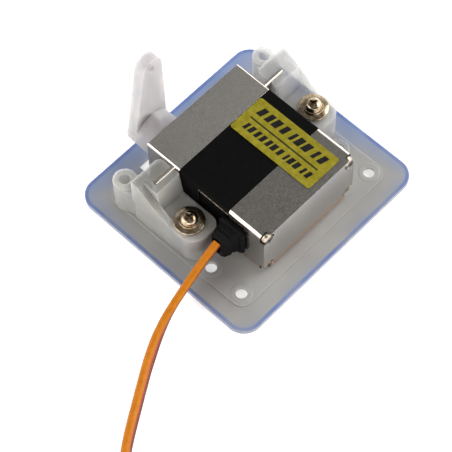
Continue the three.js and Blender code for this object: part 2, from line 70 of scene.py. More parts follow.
PLATE_LOW, PLATE_HIGH = span("hatch_plate")
CASE_LOW, CASE_HIGH = span("bottom_case")
GEAR_LOW, GEAR_HIGH = span("gear_case")
MIDDLE_LOW, MIDDLE_HIGH = span("middle_case")
ARM_LOW, ARM_HIGH = span("servo_arm")
LABEL_LOW, LABEL_HIGH = span("label")
COIL_LOW, COIL_HIGH = span("lead_coil")
SHAFT = joint_place("arm_hinge")

PLATE_HALF = (PLATE_HIGH.x, PLATE_HIGH.y)
PLATE_CORNER = 3.7
SHEET_TOP = 1.0
PAD_HALF = (19.2, 17.1)
PAD_TOP = 1.25
HOLE_X = 16.8
HOLE_ROWS = (-7.1, -14.5)
HOLE_R = 1.05
BOSS_R = 2.5
BOSS_TOP = PLATE_HIGH.z

CASE_HALF = CASE_HIGH.x
CASE_BOTTOM, CASE_TOP = CASE_LOW.z, CASE_HIGH.z
CASE_MID = SHAFT.z
WALL = 0.95
SCREW_X = 10.35
SCREW_DZ = 4.75
PIN_X = joint_place("first_gear_spin").x
MOTOR_X = joint_place("motor_spin").x

BRACKET_CENTRE = 0.5
BRACKET_SCREW_OUT = 16.0
BRACKET_SCREW_Y = -0.8
BRACKET_SEAT = 8.4

WIRE_R = 0.75
COIL_CENTRE = (COIL_LOW + COIL_HIGH) / 2
PLUG_TURN = 0.35
PLUG_FROM_CENTRE = 14.2

# --- mesh tools
PLACE = {
    "x": lambda u, v, w: (w, u, v),
    "y": lambda u, v, w: (u, w, v),
    "z": lambda u, v, w: (u, v, w),
}


def made(vertices, faces):
    """A closed mesh object, linked to the scene, with its faces pointing out."""
    mesh = bpy.data.meshes.new("shape")
    mesh.from_pydata(vertices, [], faces)
    bm = bmesh.new()
    bm.from_mesh(mesh)
    bmesh.ops.recalc_face_normals(bm, faces=bm.faces)
    bm.to_mesh(mesh)
    bm.free()
    shape = bpy.data.objects.new("shape", mesh)
    bpy.context.scene.collection.objects.link(shape)
    return shape


def lofted(rings, closed=False):
    """A solid through rings of equally many points, closed on itself or capped at its ends."""
    sides = len(rings[0])
    count = len(rings)
    faces = []
    for k in range(count if closed else count - 1):
        low, high = k * sides, (k + 1) % count * sides
        faces += [(low + i, low + (i + 1) % sides, high + (i + 1) % sides, high + i) for i in range(sides)]
    if not closed:
        faces += [tuple(range(sides)), tuple(range((count - 1) * sides, count * sides))]
    return made([p for ring in rings for p in ring], faces)


def prism(outline, low, high, axis="z"):
    """An outline drawn out from low to high along an axis; it is in the two other axes, in their order."""
    place = PLACE[axis]
    return lofted([[place(u, v, w) for u, v in outline] for w in (low, high)])


def block(low, high):
    (x0, y0, z0), (x1, y1, z1) = low, high
    return prism([(x0, y0), (x1, y0), (x1, y1), (x0, y1)], z0, z1)


def turned(profile, u, v, axis="z", sides=48, closed=False):
    """A profile of (radius, height) turned about an axis through (u, v)."""
    rings = []
    for radius, height in profile:
        radius = max(radius, 0.001)
        turns = [2 * math.pi * i / sides for i in range(sides)]
        rings.append([PLACE[axis](u + radius * math.cos(a), v + radius * math.sin(a), height) for a in turns])
    return lofted(rings, closed)


def rod(u, v, low, high, radius, axis="z", sides=48):
    return turned([(radius, low), (radius, high)], u, v, axis, sides)


def arc(u, v, radius, start, end, steps=8):
    """Points on an arc, its angles in degrees."""
    angles = [math.radians(start + (end - start) * i / steps) for i in range(steps + 1)]
    return [(u + radius * math.cos(a), v + radius * math.sin(a)) for a in angles]


def rounded(low_u, low_v, high_u, high_v, r, steps=8):
    """A rectangle with round corners."""
    corners = [(high_u - r, low_v + r, -90), (high_u - r, high_v - r, 0), (low_u + r, high_v - r, 90),
               (low_u + r, low_v + r, 180)]
    return [p for u, v, start in corners for p in arc(u, v, r, start, start + 90, steps)]


def settle(body):
    """Applies an object's modifiers."""
    graph = bpy.context.evaluated_depsgraph_get()
    mesh = bpy.data.meshes.new_from_object(body.evaluated_get(graph), preserve_all_data_layers=True,
                                           depsgraph=graph)
    old = body.data
    body.modifiers.clear()
    body.data = mesh
    bpy.data.meshes.remove(old)
    return body


def boolean(body, tools, operation):
    for tool in tools:
        modifier = body.modifiers.new("join", "BOOLEAN")
        modifier.operation = operation
        modifier.solver = "EXACT"
        modifier.object = tool
    settle(body)
    for tool in tools:
        bpy.data.objects.remove(tool)
    return body


def cut(body, *tools):
    return boolean(body, tools, "DIFFERENCE")


def joined(body, *more):
    return boolean(body, more, "UNION")


def together(*shapes):
    """Separate closed shapes as one object."""
    bm = bmesh.new()
    for shape in shapes:
        bm.from_mesh(shape.data)
    for shape in shapes[1:]:
        bpy.data.objects.remove(shape)
    bm.to_mesh(shapes[0].data)
    bm.free()
    return shapes[0]


def cleaned(body):
    """Merges the slivers and flat splits that the joins leave."""
    bm = bmesh.new()
    bm.from_mesh(body.data)
    bmesh.ops.remove_doubles(bm, verts=bm.verts, dist=0.004)
    bmesh.ops.dissolve_degenerate(bm, edges=bm.edges, dist=0.004)
    bmesh.ops.dissolve_limit(bm, angle_limit=math.radians(0.6), verts=bm.verts, edges=bm.edges)
    bm.to_mesh(body.data)
    bm.free()
    return body


def softened(body, width, steps=3, edge_look=-1):
    """Rounds a shape's edges."""
    cleaned(body)
    modifier = body.modifiers.new("round", "BEVEL")
    modifier.width = width
    modifier.segments = steps
    modifier.limit_method = "ANGLE"
    modifier.angle_limit = math.radians(32)
    modifier.miter_outer = "MITER_ARC"
    modifier.material = edge_look
    return settle(body)


def finished(body, name, looks, replaces=(), bevel=0.0, steps=3, edge_look=-1, body_name="root"):
    """Rounds a drawn shape's edges, brings it to metres and makes it a piece of the object."""
    for look in looks:
        body.data.materials.append(LOOKS[look])
    if bevel:
        softened(body, bevel, steps, edge_look)
    body.data.transform(Matrix.Scale(MM, 4))
    body.data.shade_smooth()
    body.data.set_sharp_from_angle(angle=math.radians(38))
    body.modifiers.new("normals", "WEIGHTED_NORMAL").keep_sharp = True
    settle(body)
    body.name = body.data.name = name
    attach(body, body_name)
    if replaces:
        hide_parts(*replaces)
    return body


# --- material tools
class Look:
    """A material under construction: its Principled shader and the nodes that feed it."""

    def __init__(self, name, roughness, **values):
        self.material = bpy.data.materials.new(name)
        self.material.use_nodes = True
        self.tree = self.material.node_tree
        self.shader = self.tree.nodes["Principled BSDF"]
        self.shader.inputs["Roughness"].default_value = roughness
        for socket, value in values.items():
            self.shader.inputs[socket.replace("_", " ")].default_value = value
        place = self.tree.nodes.new("ShaderNodeTexCoord")
        self.place = self.vector("SCALE", place.outputs["Object"], scale=1 / MM)

    def node(self, kind, inputs, **settings):
        node = self.tree.nodes.new(kind)
        for key, value in settings.items():
            setattr(node, key, value)
        for key, value in inputs.items():
            if isinstance(value, bpy.types.NodeSocket):
                self.tree.links.new(value, node.inputs[key])
            else:
                node.inputs[key].default_value = value
        return node

    def vector(self, operation, first, second=None, scale=None):
        inputs = {0: first}
        if second is not None:
            inputs[1] = second
        if scale is not None:
            inputs["Scale"] = scale
        node = self.node("ShaderNodeVectorMath", inputs, operation=operation)
        return node.outputs["Value" if operation == "LENGTH" else "Vector"]

    def maths(self, operation, first, second=0.0, third=0.0, clamp=False):
        inputs = {0: first, 1: second, 2: third}
        return self.node("ShaderNodeMath", inputs, operation=operation, use_clamp=clamp).outputs[0]

    def times(self, first, second):
        return self.maths("MULTIPLY", first, second)

    def stretched(self, factors):
        """The place in millimetres, times a factor along each axis."""
        return self.vector("MULTIPLY", self.place, factors)

    def noise(self, scale, detail=3.0, place=None, roughness=0.5):
        inputs = {"Vector": place or self.place, "Scale": scale, "Detail": detail, "Roughness": roughness}
        return self.node("ShaderNodeTexNoise", inputs).outputs["Fac"]

    def ramp(self, factor, *stops):
        """A colour that follows a factor, through stops of (position, colour)."""
        node = self.node("ShaderNodeValToRGB", {"Fac": factor})
        elements = node.color_ramp.elements
        while len(elements) < len(stops):
            elements.new(0.5)
        for element, (position, colour) in zip(elements, stops, strict=True):
            element.position = position
            element.color = (*colour, 1.0)
        return node.outputs["Color"]

    def between(self, value, low, high, to_low=0.0, to_high=1.0):
        """A value mapped smoothly from one range to another."""
        inputs = {"Value": value, "From Min": low, "From Max": high, "To Min": to_low, "To Max": to_high}
        return self.node("ShaderNodeMapRange", inputs, interpolation_type="SMOOTHSTEP").outputs["Result"]

    def mix(self, factor, first, second, blend="MIX"):
        node = self.tree.nodes.new("ShaderNodeMix")
        node.data_type = "RGBA"
        node.blend_type = blend
        for socket, value in ((0, factor), (6, first), (7, second)):
            if isinstance(value, bpy.types.NodeSocket):
                self.tree.links.new(value, node.inputs[socket])
            else:
                node.inputs[socket].default_value = value if socket == 0 else (*value, 1.0)
        return node.outputs[2]

    def part(self, axis, place=None):
        """One coordinate of the place, in millimetres."""
        node = self.node("ShaderNodeSeparateXYZ", {"Vector": place or self.place})
        return node.outputs["XYZ".index(axis)]

    def facing_up(self, low, high):
        """From 0 on walls to 1 on faces that look up."""
        normal = self.node("ShaderNodeNewGeometry", {}).outputs["True Normal"]
        return self.between(self.part("Z", normal), low, high)

    def paint(self, colour):
        self.tree.links.new(colour, self.shader.inputs["Base Color"])

    def roughen(self, factor, low, high):
        """Roughness that follows a factor from 0 to 1."""
        self.tree.links.new(self.between(factor, 0.3, 0.7, low, high), self.shader.inputs["Roughness"])

    def bump(self, height, depth_mm, strength=1.0):
        inputs = {"Height": height, "Distance": depth_mm * MM, "Strength": strength}
        if self.shader.inputs["Normal"].is_linked:
            inputs["Normal"] = self.shader.inputs["Normal"].links[0].from_socket
        normal = self.node("ShaderNodeBump", inputs).outputs["Normal"]
        self.tree.links.new(normal, self.shader.inputs["Normal"])


# --- materials
def hatch_look():
    """Milky moulded plastic that turns blue towards the plate's edges, most of all at the front; its outer
    band is painted darker as shade, and its rim walls darker still.
    """
    look = Look("milky_blue_plastic", 0.34, IOR=1.48, Coat_Weight=0.15, Coat_Roughness=0.15,
                Specular_IOR_Level=0.4, Subsurface_Weight=0.5, Subsurface_Scale=0.0012,
                Subsurface_Radius=(1.0, 1.0, 1.0))
    half = Vector((PLATE_HALF[0] - PLATE_CORNER, PLATE_HALF[1] - PLATE_CORNER, 50.0))
    past = look.vector("SUBTRACT", look.vector("ABSOLUTE", look.place), half)
    outside = look.vector("LENGTH", look.vector("MAXIMUM", past, (0.0, 0.0, 0.0)))
    inner = look.maths("MINIMUM", look.maths("MAXIMUM", look.part("X", past), look.part("Y", past)), 0.0)
    from_edge = look.maths("SUBTRACT", PLATE_CORNER, look.maths("ADD", outside, inner))
    cloud = look.noise(0.09, 2.0)
    fine = look.noise(0.35, 3.0)
    milky = look.ramp(cloud, (0.3, (0.34, 0.335, 0.33)), (0.5, (0.385, 0.38, 0.37)),
                      (0.72, (0.44, 0.43, 0.415)))
    milky = look.mix(look.between(fine, 0.35, 0.75, 0.0, 0.2), milky, (0.34, 0.35, 0.365))
    # Painted shade: within about 10 mm of the plate's edge the milky colour is darkened towards grey.
    milky = look.mix(look.between(from_edge, 3.0, 10.0, 0.3, 0.0), milky, (0.265, 0.265, 0.268))
    wavering = look.maths("ADD", from_edge, look.times(look.maths("SUBTRACT", cloud, 0.5), 5.0))
    along_x = look.times(look.part("X"), 0.62)
    along_y = look.times(look.part("Y"), 0.85)
    far = look.maths("ADD", along_x, along_y)
    reach = look.between(far, -13.0, 19.0, 1.2, 8.5)
    soft = look.maths("SUBTRACT", 1.0, look.maths("DIVIDE", wavering, reach), clamp=True)
    strength = look.between(far, -13.0, 17.0, 0.35, 0.95)
    tinted = look.mix(look.times(soft, strength), milky, (0.215, 0.295, 0.52))
    line = band(look, from_edge, 0.02, 0.7, 0.12)
    line = look.times(line, look.between(look.noise(0.16, 3.0), 0.3, 0.7, 0.35, 0.8))
    lined = look.mix(line, tinted, (0.105, 0.165, 0.41))
    # Painted shade: the plate's rim walls and the rounding at its edge are painted dark grey.
    look.paint(look.mix(look.between(from_edge, -0.04, 0.06, 0.9, 0.0), lined, (0.20, 0.20, 0.21)))
    look.roughen(fine, 0.28, 0.45)
    look.bump(look.noise(0.8, 3.0), 0.02, 0.25)
    return look.material


def bracket_look():
    """Milky, cloudy moulded plastic, clear enough to show what it grips; its colour carries painted light and
    shade: darker tops, lighter walls and low seats, and a lighter right-hand bracket.
    """
    look = Look("milky_bracket_plastic", 0.42, IOR=1.46, Coat_Weight=0.1, Coat_Roughness=0.2, Alpha=0.56,
                Specular_IOR_Level=0.25, Subsurface_Weight=1.0, Subsurface_Scale=0.005,
                Subsurface_Radius=(1.0, 1.0, 1.0))
    cloud = look.noise(0.22, 2.5)
    # Painted shading: flat tops are painted darker and walls lighter, to flatten the light and shade on the
    # bracket.
    darkened_tops = look.ramp(cloud, (0.3, (0.215, 0.218, 0.215)), (0.5, (0.25, 0.25, 0.238)),
                     (0.7, (0.29, 0.285, 0.25)))
    lightened_walls = look.ramp(cloud, (0.3, (0.40, 0.40, 0.40)), (0.5, (0.45, 0.447, 0.43)), (0.7, (0.50, 0.49, 0.43)))
    lightened_seats = look.ramp(cloud, (0.3, (0.47, 0.47, 0.455)), (0.5, (0.52, 0.51, 0.475)),
                      (0.7, (0.57, 0.555, 0.475)))
    # Painted light: the low seats, which lie in the shadow of the tower and the case, are painted lighter.
    flats = look.mix(look.between(look.part("Z"), 8.6, 11.0), lightened_seats, darkened_tops)
    tone = look.mix(look.facing_up(0.25, 0.85), lightened_walls, flats)
    # Painted light: the colour lightens towards +X, so the right-hand bracket is painted brighter, where more
    # light falls.
    look.paint(look.mix(look.between(look.part("X"), -6.0, 6.0, 0.0, 0.35), tone, (0.56, 0.56, 0.575)))
    look.roughen(look.noise(0.8, 3.0), 0.28, 0.45)
    look.bump(look.noise(0.7, 2.0), 0.02, 0.25)
    return look.material


def arm_look():
    """Natural nylon: waxy, slightly clear, with faint flow marks along the blade."""
    look = Look("natural_nylon", 0.42, IOR=1.5, Alpha=0.66, Specular_IOR_Level=0.35, Subsurface_Weight=1.0,
                Subsurface_Scale=0.004, Subsurface_Radius=(1.0, 0.95, 0.95))
    flow = look.noise(0.4, 3.0, look.stretched((1.4, 1.0, 0.4)))
    look.paint(look.ramp(flow, (0.3, (0.39, 0.38, 0.395)), (0.55, (0.435, 0.42, 0.425)),
                         (0.8, (0.49, 0.475, 0.475))))
    look.roughen(flow, 0.36, 0.5)
    look.bump(flow, 0.03, 0.3)
    return look.material


def case_look(name, dark, light):
    """Bead-blasted aluminium with fine painted glints in its grain; its walls are smoother and painted
    lighter, with a painted warm reflection along their foot.
    """
    look = Look(name, 0.42, Metallic=1.0)
    grain = look.noise(3.6, 5.0, roughness=0.8)
    broad = look.noise(0.2, 2.0)
    middle = tuple((a + b) / 2 for a, b in zip(dark, light, strict=True))
    tone = look.ramp(grain, (0.3, dark), (0.5, middle), (0.7, light))
    tone = look.mix(look.between(broad, 0.3, 0.7, 0.0, 0.4), tone, middle)
    # Painted glints: small bright specks in the colour stand in for the sparkle of the blasted grain.
    painted_glint = look.between(look.noise(6.5, 2.0), 0.66, 0.74)
    tone = look.mix(look.times(painted_glint, 0.35), tone, (0.7, 0.68, 0.65))
    wall = look.maths("SUBTRACT", 1.0, look.facing_up(0.3, 0.7))
    # Painted light: walls get an even colour without the grain, which is their smoother finish, and this
    # colour is painted lighter than the tops to carry their brighter reflection.
    tone = look.mix(wall, tone, (0.53, 0.515, 0.49))
    # Painted reflection: a warm band along the foot of the walls, about 2.3 to 3.9 mm up.
    low = look.times(wall, look.between(look.part("Z"), 2.3, 3.9, 1.0, 0.0))
    look.paint(look.mix(look.times(low, 0.85), tone, (0.80, 0.52, 0.34)))
    coarse = look.between(grain, 0.3, 0.7, 0.17, 0.3)
    rough = look.times(coarse, look.between(wall, 0.0, 1.0, 1.0, 0.1))
    look.tree.links.new(look.maths("ADD", rough, 0.23), look.shader.inputs["Roughness"])
    look.bump(grain, 0.01, look.between(wall, 0.0, 1.0, 0.5, 0.06))
    return look.material


def two_toned(look, tone_patches, low, high, rough):
    """Paints and roughens a look by one noise, between two stops of (position, colour)."""
    look.paint(look.ramp(tone_patches, low, high))
    look.roughen(tone_patches, *rough)


def polished_look():
    """The cases' machined edges: brighter than the faces, with fine lines along them."""
    look = Look("machined_edge", 0.16, Metallic=1.0)
    lines = look.noise(2.2, 3.0, look.stretched((0.15, 0.15, 4.0)))
    two_toned(look, lines, (0.3, (0.68, 0.62, 0.54)), (0.7, (0.86, 0.81, 0.73)), (0.1, 0.24))
    look.bump(lines, 0.004, 0.5)
    return look.material


def painted_shadow_look():
    """Painted shadow: near-black colour for the notch floors round the case screws, where shade falls."""
    look = Look("painted_notch_shadow", 0.7, Specular_IOR_Level=0.1)
    look.paint(look.ramp(look.noise(2.0, 3.0), (0.3, (0.003, 0.003, 0.003)), (0.7, (0.008, 0.0075, 0.007))))
    look.roughen(look.noise(3.0, 3.0), 0.6, 0.8)
    return look.material


def black_case_look():
    """Black anodised metal with a fine tooth."""
    look = Look("black_anodised", 0.5, Specular_IOR_Level=0.05)
    grain = look.noise(3.0, 4.0, roughness=0.7)
    look.paint(look.ramp(grain, (0.35, (0.0014, 0.0014, 0.0015)), (0.7, (0.0034, 0.0033, 0.0033))))
    look.roughen(look.noise(0.6, 3.0), 0.45, 0.6)
    look.bump(grain, 0.01, 0.5)
    return look.material


def black_edge_look():
    """The black case's corners, where the coating is rubbed to a soft shine; the brown-grey colour also
    paints in the highlight lines along them.
    """
    look = Look("black_anodised_edge", 0.3, Metallic=0.7)
    # Painted highlight: besides the rubbed coating, the brown-grey tones make the edges read as bright
    # highlight lines.
    wear_and_highlight = look.noise(1.4, 4.0)
    two_toned(look, wear_and_highlight, (0.4, (0.06, 0.052, 0.042)), (0.7, (0.24, 0.20, 0.155)), (0.22, 0.36))
    return look.material


def nickel_look():
    """Bright nickel plate with fine turned lines; noise patches of warm brown are a painted golden reflection
    and painted shade.
    """
    look = Look("bright_nickel", 0.14, Metallic=1.0)
    # Painted reflection and shade: noise patches of warm brown stand in for the nickel's golden reflection
    # and the brownish shade in its recess.
    tone_patches = look.noise(1.1, 3.0)
    look.paint(look.ramp(tone_patches, (0.32, (0.30, 0.21, 0.12)), (0.5, (0.47, 0.37, 0.25)),
                         (0.7, (0.70, 0.62, 0.50))))
    look.roughen(look.noise(5.0, 3.0), 0.1, 0.24)
    look.bump(look.noise(6.0, 2.0), 0.004, 0.4)
    return look.material


def steel_look():
    """Zinc-plated steel."""
    look = Look("zinc_steel", 0.22, Metallic=1.0)
    tone_patches = look.noise(1.6, 4.0)
    two_toned(look, tone_patches, (0.3, (0.34, 0.28, 0.20)), (0.7, (0.72, 0.65, 0.53)), (0.2, 0.36))
    look.bump(look.noise(7.0, 2.0), 0.004, 0.5)
    return look.material


def brass_look():
    """Turned brass, a little dull."""
    look = Look("turned_brass", 0.28, Metallic=1.0)
    tone_patches = look.noise(1.0, 4.0)
    two_toned(look, tone_patches, (0.3, (0.50, 0.36, 0.15)), (0.7, (0.76, 0.59, 0.30)), (0.2, 0.36))
    look.bump(look.noise(3.0, 3.0, look.stretched((0.2, 4.0, 0.2))), 0.005, 0.5)
    return look.material


def rubber_look():
    """Moulded black rubber with a dusty bloom."""
    look = Look("black_rubber", 0.6, Specular_IOR_Level=0.08)
    bloom = look.noise(1.6, 4.0)
    two_toned(look, bloom, (0.4, (0.002, 0.002, 0.0021)), (0.75, (0.006, 0.0058, 0.0058)), (0.44, 0.66))
    look.bump(look.noise(4.0, 4.0), 0.02, 0.6)
    return look.material


def jacket_look(name, dark, light):
    """Soft wire insulation with a faint waviness along it; its sides are painted darker and browner as shade.
    """
    look = Look(name, 0.5, Specular_IOR_Level=0.15, Subsurface_Weight=0.1, Subsurface_Scale=0.0004)
    dirt = look.noise(0.9, 4.0)
    tone = look.ramp(dirt, (0.3, dark), (0.7, light))
    # Painted shade: faces turned away from up are mixed towards a dark brown.
    side = look.maths("SUBTRACT", 1.0, look.facing_up(0.1, 0.75))
    look.paint(look.mix(look.times(side, 0.55), tone, (0.12, 0.025, 0.008)))
    look.roughen(dirt, 0.34, 0.48)
    look.bump(look.noise(1.4, 3.0), 0.02, 0.5)
    return look.material


def label_look():
    """An olive foil label with a printed rule and rows of plain bars."""
    look = Look("printed_foil", 0.45, Specular_IOR_Level=0.25, Coat_Weight=0.1, Coat_Roughness=0.2)
    crease = look.noise(1.3, 4.0)
    foil = look.ramp(crease, (0.3, (0.185, 0.155, 0.006)), (0.55, (0.235, 0.20, 0.009)),
                     (0.8, (0.29, 0.25, 0.018)))
    across, along = look.part("X"), look.part("Y")
    middle = (LABEL_LOW.x + LABEL_HIGH.x) / 2
    ends = (LABEL_LOW.y + 1.4, LABEL_HIGH.y - 1.4)
    ink = band(look, across, middle - 0.35, middle - 0.05)
    for low, high, count, slant in ((0.95, 2.85, 9, 0.3), (-2.75, -1.25, 12, 0.25)):
        row = band(look, across, middle + low, middle + high)
        row = look.times(row, band(look, along, *ends))
        slanted = look.maths("ADD", along, look.times(across, slant))
        start = ends[0] + (middle + (low + high) / 2) * slant
        place = look.maths("DIVIDE", look.maths("SUBTRACT", slanted, start), (ends[1] - ends[0]) / count)
        number = look.maths("FLOOR", place)
        chosen = look.node("ShaderNodeTexWhiteNoise", {"W": number}, noise_dimensions="1D")
        end = look.between(chosen.outputs["Value"], 0.0, 1.0, 0.5, 0.86)
        step = look.maths("FRACT", place)
        bar = look.maths("GREATER_THAN", step, 0.1)
        bar = look.times(bar, look.maths("LESS_THAN", step, end))
        ink = look.maths("MAXIMUM", ink, look.times(row, bar))
    ink = look.times(ink, band(look, along, *ends))
    ink = look.times(ink, look.between(look.noise(2.2, 3.0), 0.2, 0.35, 0.88, 1.0))
    look.paint(look.mix(ink, foil, (0.003, 0.003, 0.003)))
    look.roughen(crease, 0.32, 0.48)
    look.bump(crease, 0.012, 0.6)
    return look.material


def band(look, value, low, high, soft=0.08):
    """1 where a value lies between low and high, with soft ends."""
    rise = look.between(value, low - soft, low + soft)
    fall = look.between(value, high - soft, high + soft, 1.0, 0.0)
    return look.times(rise, fall)


def plastic_look(name, dark, light, roughness=0.45):
    """Plain moulded plastic."""
    look = Look(name, roughness)
    grain = look.noise(2.0, 4.0)
    two_toned(look, grain, (0.3, dark), (0.7, light), (roughness - 0.07, roughness + 0.08))
    look.bump(look.noise(5.0, 3.0), 0.01, 0.5)
    return look.material


def floor_look():
    """A plain pale tabletop, lit a little from below."""
    look = Look("pale_floor", 0.8, Specular_IOR_Level=0.15)
    tone = look.ramp(look.noise(0.02, 2.0), (0.3, (0.94, 0.94, 0.94)), (0.7, (0.96, 0.96, 0.96)))
    look.paint(tone)
    look.tree.links.new(tone, look.shader.inputs["Emission Color"])
    look.shader.inputs["Emission Strength"].default_value = 0.5
    return look.material


LOOKS = {
    "hatch": hatch_look(),
    "bracket": bracket_look(),
    "arm": arm_look(),
    "front_case": case_look("blasted_aluminium", (0.20, 0.192, 0.178), (0.35, 0.34, 0.32)),
    "rear_case": case_look("dark_blasted_aluminium", (0.10, 0.095, 0.088), (0.235, 0.225, 0.21)),
    "notch_shadow": painted_shadow_look(),
    "polished": polished_look(),
    "black_case": black_case_look(),
    "black_edge": black_edge_look(),
    "nickel": nickel_look(),
    "steel": steel_look(),
    "brass": brass_look(),
    "rubber": rubber_look(),
    "label": label_look(),
    "orange": jacket_look("orange_jacket", (0.47, 0.145, 0.006), (0.56, 0.185, 0.009)),
    "red": jacket_look("red_jacket", (0.30, 0.018, 0.008), (0.38, 0.028, 0.011)),
    "brown": jacket_look("brown_jacket", (0.085, 0.026, 0.014), (0.13, 0.042, 0.022)),
    "black_plastic": plastic_look("black_plastic", (0.010, 0.010, 0.011), (0.020, 0.020, 0.021)),
    "board": plastic_look("green_board", (0.012, 0.095, 0.040), (0.020, 0.135, 0.060), 0.35),
}


# --- camera, light and floor
def make_camera():
    azimuth, elevation, roll = (math.radians(a) for a in (45.023, 61.389, -1.449))
    towards = Vector((math.sin(azimuth) * math.cos(elevation), math.cos(azimuth) * math.cos(elevation),
                      -math.sin(elevation)))
    target = Vector((-7.188, -1.463, -3.447)) * MM
    distance = 0.3201
    data = bpy.data.cameras.new("camera")
    data.sensor_width = 36.0
    data.lens = 140.33
    data.clip_start = 0.01
    camera = bpy.data.objects.new("camera", data)
    camera.location = target - towards * distance
    camera.rotation_mode = "QUATERNION"
    camera.rotation_quaternion = towards.to_track_quat("-Z", "Y") @ Quaternion((0, 0, 1), roll)
    bpy.context.scene.collection.objects.link(camera)
    bpy.context.scene.camera = camera


def make_light(name, place, size, power, colour=(1.0, 1.0, 1.0)):
    """A soft square light, pointed at the object."""
    data = bpy.data.lights.new(name, "AREA")
    data.shape = "RECTANGLE"
    data.size, data.size_y = size
    data.energy = power
    data.color = colour
    light = bpy.data.objects.new(name, data)
    light.location = place
    light.rotation_mode = "QUATERNION"
    light.rotation_quaternion = (-Vector(place)).to_track_quat("-Z", "Y")
    bpy.context.scene.collection.objects.link(light)


def make_stage():
    half = 1.6
    floor = made([(-half, -half, -0.00004), (half, -half, -0.00004), (half, half, -0.00004),
                  (-half, half, -0.00004)], [(0, 1, 2, 3)])
    floor.name = "floor"
    floor.data.materials.append(floor_look())
    scene = bpy.context.scene
    scene.world = make_world()
    scene.view_settings.view_transform = "Standard"
    make_light("key", (0.62, -0.22, 0.6), (0.6, 0.6), 5.0, (1.0, 0.99, 0.97))
    make_light("fill", (-0.58, 0.3, 0.6), (0.6, 0.6), 2.2)
    make_light("low", (-0.55, -0.5, 0.3), (0.6, 0.25), 0.5, (1.0, 0.97, 0.93))


def make_world():
    """A studio that is bright round the horizon and darker overhead."""
    world = bpy.data.worlds.new("studio")
    world.use_nodes = True
    tree = world.node_tree
    place = tree.nodes.new("ShaderNodeTexCoord")
    parts = tree.nodes.new("ShaderNodeSeparateXYZ")
    ramp = tree.nodes.new("ShaderNodeValToRGB")
    for element, (height, level) in zip(ramp.color_ramp.elements, ((0.45, 1.0), (0.75, 0.1)), strict=True):
        element.position = height
        element.color = (level, level * 0.99, level * 0.97, 1.0)
    tree.links.new(place.outputs["Generated"], parts.inputs[0])
    tree.links.new(parts.outputs["Z"], ramp.inputs["Fac"])
    tree.links.new(ramp.outputs["Color"], tree.nodes["Background"].inputs["Color"])
    tree.nodes["Background"].inputs["Strength"].default_value = 1.75
    return world


# --- lead
# Centre line of the flat lead, which stands on its edge: out of the grommet, down past the plate, away.
LEAD_ROUTE = [
    (-15.0, -6.84, 7.14), (-16.2, -6.92, 6.84), (-17.2, -6.99, 6.54), (-18.45, -7.09, 6.15),
    (-19.95, -7.24, 5.68), (-21.45, -7.42, 5.2), (-22.95, -7.6, 4.76), (-24.5, -7.83, 4.34),
    (-26.05, -8.08, 3.95), (-27.55, -8.38, 3.6), (-29.1, -8.75, 3.28), (-30.65, -9.22, 3.0),
    (-32.15, -9.77, 2.77), (-33.7, -10.4, 2.6), (-35.2, -11.12, 2.48), (-36.65, -11.87, 2.4),
    (-38.15, -12.67, 2.36), (-39.6, -13.52, 2.35), (-42.45, -15.24, 2.35), (-45.2, -16.93, 2.35),
    (-47.85, -18.55, 2.35), (-51.4, -20.9, 2.35), (-55.3, -24.0, 2.35), (-59.0, -27.75, 2.35),
    (-64.3, -35.0, 2.35),
]
LEAD_LOW = 2.35
TURN_PITCH = 1.7
TURN_START = 144
TURNS = 1.18


def coil_route():
    """The stored turns, each inside the one before, and the last stretch, into the plug."""
    outer = (COIL_HIGH.x - COIL_LOW.x) / 2 - TURN_PITCH / 2
    steps = 18
    points = []
    for i in range(int(TURNS * steps) + 1):
        turns = i / steps
        angle = math.radians(TURN_START + 360 * turns)
        radius = outer - TURN_PITCH * turns
        x, y = radius * math.cos(angle), radius * math.sin(angle)
        points.append((COIL_CENTRE.x + x, COIL_CENTRE.y + y, LEAD_LOW))
    centre, along, outwards = plug_place()
    for back, out, drop in ((14.0, 0.9, -0.35), (10.4, 0.25, -0.9), (6.2, 0.0, 0.0)):
        points.append(tuple(centre - along * back + outwards * out + Vector((0, 0, drop))))
    return points


def plug_place():
    """The plug's centre, the way it points, and the way from the coil's middle to it."""
    low, high = span("lead_plug")
    along = Vector((math.cos(PLUG_TURN), math.sin(PLUG_TURN), 0))
    outwards = Vector((along.y, -along.x, 0))
    centre = Vector((COIL_CENTRE.x, COIL_CENTRE.y, (low.z + high.z) / 2)) + outwards * PLUG_FROM_CENTRE
    return centre, along, outwards


def between_knots(first, second, low, high, at):
    """The point between two that belongs to a value between two knots."""
    return first * ((high - at) / (high - low)) + second * ((at - low) / (high - low))


def smooth_path(points, step):
    """Points about a step apart on the centripetal Catmull-Rom curve through the given ones."""
    p = [Vector(q) for q in points]
    p = [2 * p[0] - p[1], *p, 2 * p[-1] - p[-2]]
    path = []
    for i in range(1, len(p) - 2):
        t = [0.0]
        for a, b in zip(p[i - 1:i + 2], p[i:i + 3], strict=True):
            t.append(t[-1] + math.sqrt((b - a).length))
        count = max(1, round((p[i + 1] - p[i]).length / step))
        for k in range(count):
            s = t[1] + (t[2] - t[1]) * k / count
            a = [between_knots(p[i - 1 + j], p[i + j], t[j], t[j + 1], s) for j in range(3)]
            b = [between_knots(a[j], a[j + 1], t[j], t[j + 2], s) for j in range(2)]
            path.append(between_knots(b[0], b[1], t[1], t[2], s))
    path.append(p[-2])
    return path


